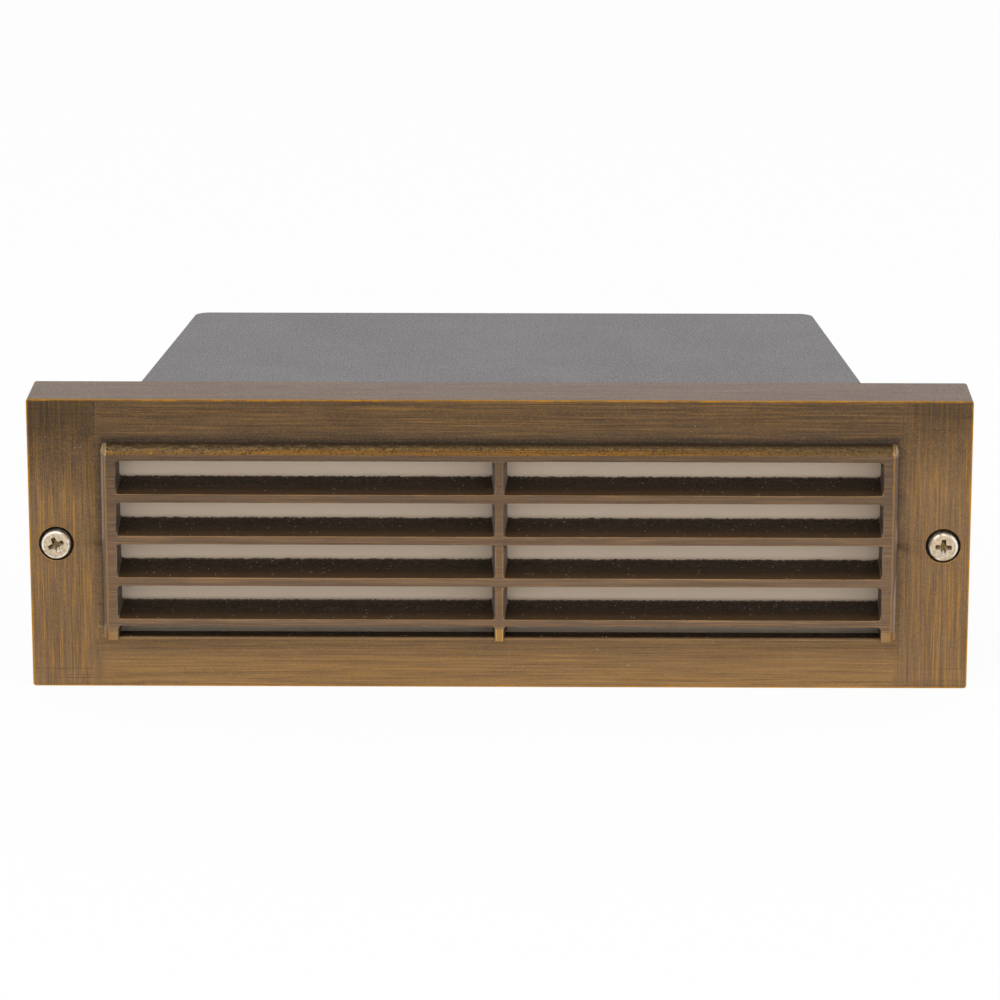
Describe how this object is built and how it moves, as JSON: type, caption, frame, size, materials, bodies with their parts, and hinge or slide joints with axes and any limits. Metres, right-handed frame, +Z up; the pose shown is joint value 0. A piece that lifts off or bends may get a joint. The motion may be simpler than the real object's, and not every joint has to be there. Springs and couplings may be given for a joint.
{
  "type": "step light",
  "caption": "Recessed louvred step light: cast bronze louvre plate screwed over a frosted lens and a tapered aluminium housing that holds the lampholder, lamp and conduit entries.",
  "frame": {"origin": "centre of the wall plane, on which the ears of the housing and the rim of the face plate rest", "axes": "+X to the right seen from the front, +Y into the wall, +Z up"},
  "size_m": [0.235, 0.1225, 0.0744],
  "materials": {
    "bronze": "antique bronze patina, brushed, worn gold along the edges",
    "housing_metal": "matt grey cast",
    "screw_steel": "nickel plated",
    "zinc_steel": "zinc plated",
    "frosted_glass": "frosted",
    "lamp_glass": "inside frosted",
    "clear_glass": "clear",
    "black_glass": "black glass",
    "black_rubber": "matt silicone",
    "white_enamel": "white enamel",
    "porcelain": "glazed white",
    "nickel_brass": "nickel plated brass",
    "plain_brass": "plain brass",
    "tungsten": "dark wire",
    "lead_black": "insulation",
    "lead_white": "insulation",
    "lead_green": "insulation",
    "connector_orange": "moulded",
    "connector_green": "moulded",
    "bushing_nylon": "nylon",
    "green_steel": "green ground screw",
    "cast_zinc": "grey casting",
    "fibre": "vulcanised fibre"
  },
  "bodies": {
    "housing": {"housing": "housing_metal", "thread_inserts": "plain_brass", "reflector": "white_enamel", "reflector_screws": "zinc_steel", "lampholder_body": "porcelain", "lampholder_sleeve": "nickel_brass", "lampholder_contact": "plain_brass", "lampholder_bracket": "zinc_steel", "lampholder_screws": "zinc_steel", "bracket_screws": "zinc_steel", "lead_bushing": "bushing_nylon", "lead_black": "lead_black", "lead_white": "lead_white", "lead_green": "lead_green", "connector_black": "connector_orange", "connector_white": "connector_orange", "connector_green": "connector_green", "ground_terminal": "nickel_brass", "ground_screw": "green_steel", "closure_plug": "cast_zinc", "closure_washer": "fibre"},
    "plate": {"face_plate": "bronze"},
    "lens": {"lens": "frosted_glass", "lens_gasket": "black_rubber"},
    "washer_left": {"sealing_washer_left": "black_rubber"},
    "screw_left": {"cover_screw_left": "screw_steel"},
    "washer_right": {"sealing_washer_right": "black_rubber"},
    "screw_right": {"cover_screw_right": "screw_steel"},
    "lamp_contact": {"lamp_contact": "nickel_brass"},
    "lamp": {"lamp_glass": "lamp_glass", "lamp_stem": "clear_glass", "lamp_filament": "tungsten", "lamp_base": "nickel_brass", "lamp_insulator": "black_glass"}
  },
  "joints": [
    {"name": "plate_off", "type": "slide", "parent": "housing", "child": "plate", "axis": [0, -1, 0], "range_m": [0, 0.08]},
    {"name": "lens_off", "type": "slide", "parent": "housing", "child": "lens", "axis": [0, -1, 0], "range_m": [0, 0.04]},
    {"name": "screw_left_out", "type": "slide", "parent": "plate", "child": "washer_left", "axis": [0, -1, 0], "range_m": [0, 0.0077]},
    {"name": "screw_left_turn", "type": "hinge", "parent": "washer_left", "child": "screw_left", "pos_m": [-0.11075, -0.0205, 0], "axis": [0, -1, 0], "range_deg": [0, 3960]},
    {"name": "screw_right_out", "type": "slide", "parent": "plate", "child": "washer_right", "axis": [0, -1, 0], "range_m": [0, 0.0077]},
    {"name": "screw_right_turn", "type": "hinge", "parent": "washer_right", "child": "screw_right", "pos_m": [0.11075, -0.0205, 0], "axis": [0, -1, 0], "range_deg": [0, 3960]},
    {"name": "lamp_out", "type": "slide", "parent": "housing", "child": "lamp_contact", "axis": [1, 0, 0], "range_m": [0, 0.023]},
    {"name": "lamp_turn", "type": "hinge", "parent": "lamp_contact", "child": "lamp", "pos_m": [0, 0.033, 0], "axis": [1, 0, 0], "range_deg": [0, 2280]}
  ],
  "couplings": [
    {"joint": "lens_off", "follows": "plate_off", "ratio": 0.5},
    {"joint": "screw_left_turn", "follows": "screw_left_out", "rad_per_m": 8976},
    {"joint": "screw_right_turn", "follows": "screw_right_out", "rad_per_m": 8976},
    {"joint": "lamp_out", "follows": "lamp_turn", "m_per_rad": 0.00057773}
  ]
}
